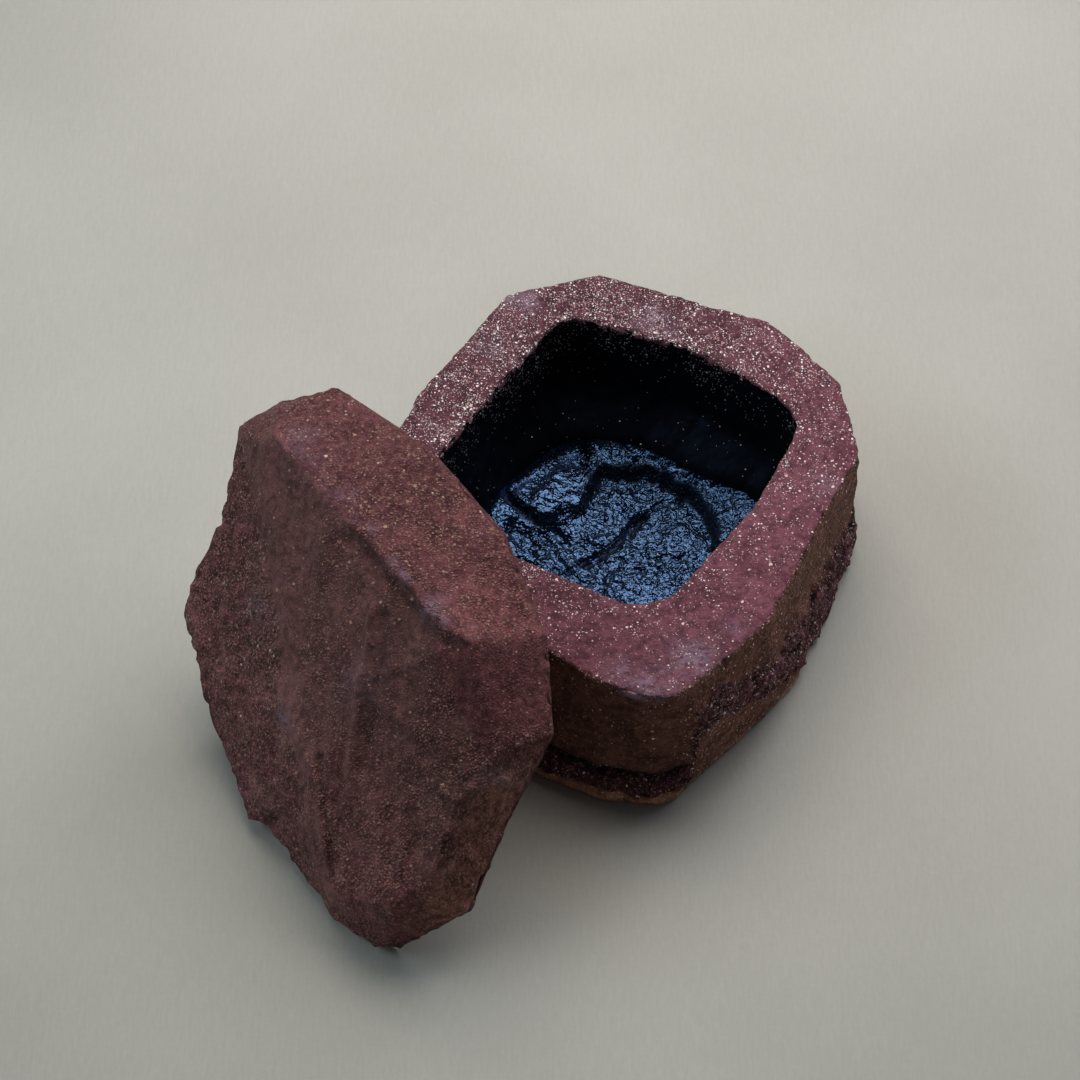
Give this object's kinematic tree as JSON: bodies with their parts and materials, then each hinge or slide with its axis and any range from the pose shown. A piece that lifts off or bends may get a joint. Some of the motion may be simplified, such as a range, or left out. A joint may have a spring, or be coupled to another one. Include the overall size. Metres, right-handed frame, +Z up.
{
  "type": "lidded stoneware box",
  "caption": "Small knife-faceted stoneware box with a rounded-square black-glazed cavity and a loose faceted lid that leans on its rim and lifts off.",
  "frame": {"origin": "centre of the box body's flat underside, on the table", "axes": "+Z up, out of the cavity's mouth; +Y along the longest side of the body and lid together; +X away from the leaning lid"},
  "size_m": [0.1153, 0.1284, 0.0499],
  "materials": {
    "carved_red_stoneware": "unglazed, matt and gritty outside and on the rim, with light grog; the cavity is glazed gloss black",
    "carved_brown_stoneware": "unglazed, matt and gritty, knife-carved"
  },
  "bodies": {
    "box": {"box_body": "carved_red_stoneware"},
    "lid": {"lid": "carved_brown_stoneware"}
  },
  "joints": [
    {"name": "lid_lift", "type": "slide", "parent": "box", "child": "lid", "axis": [0, 0, 1], "range_m": [0, 0.12]}
  ]
}
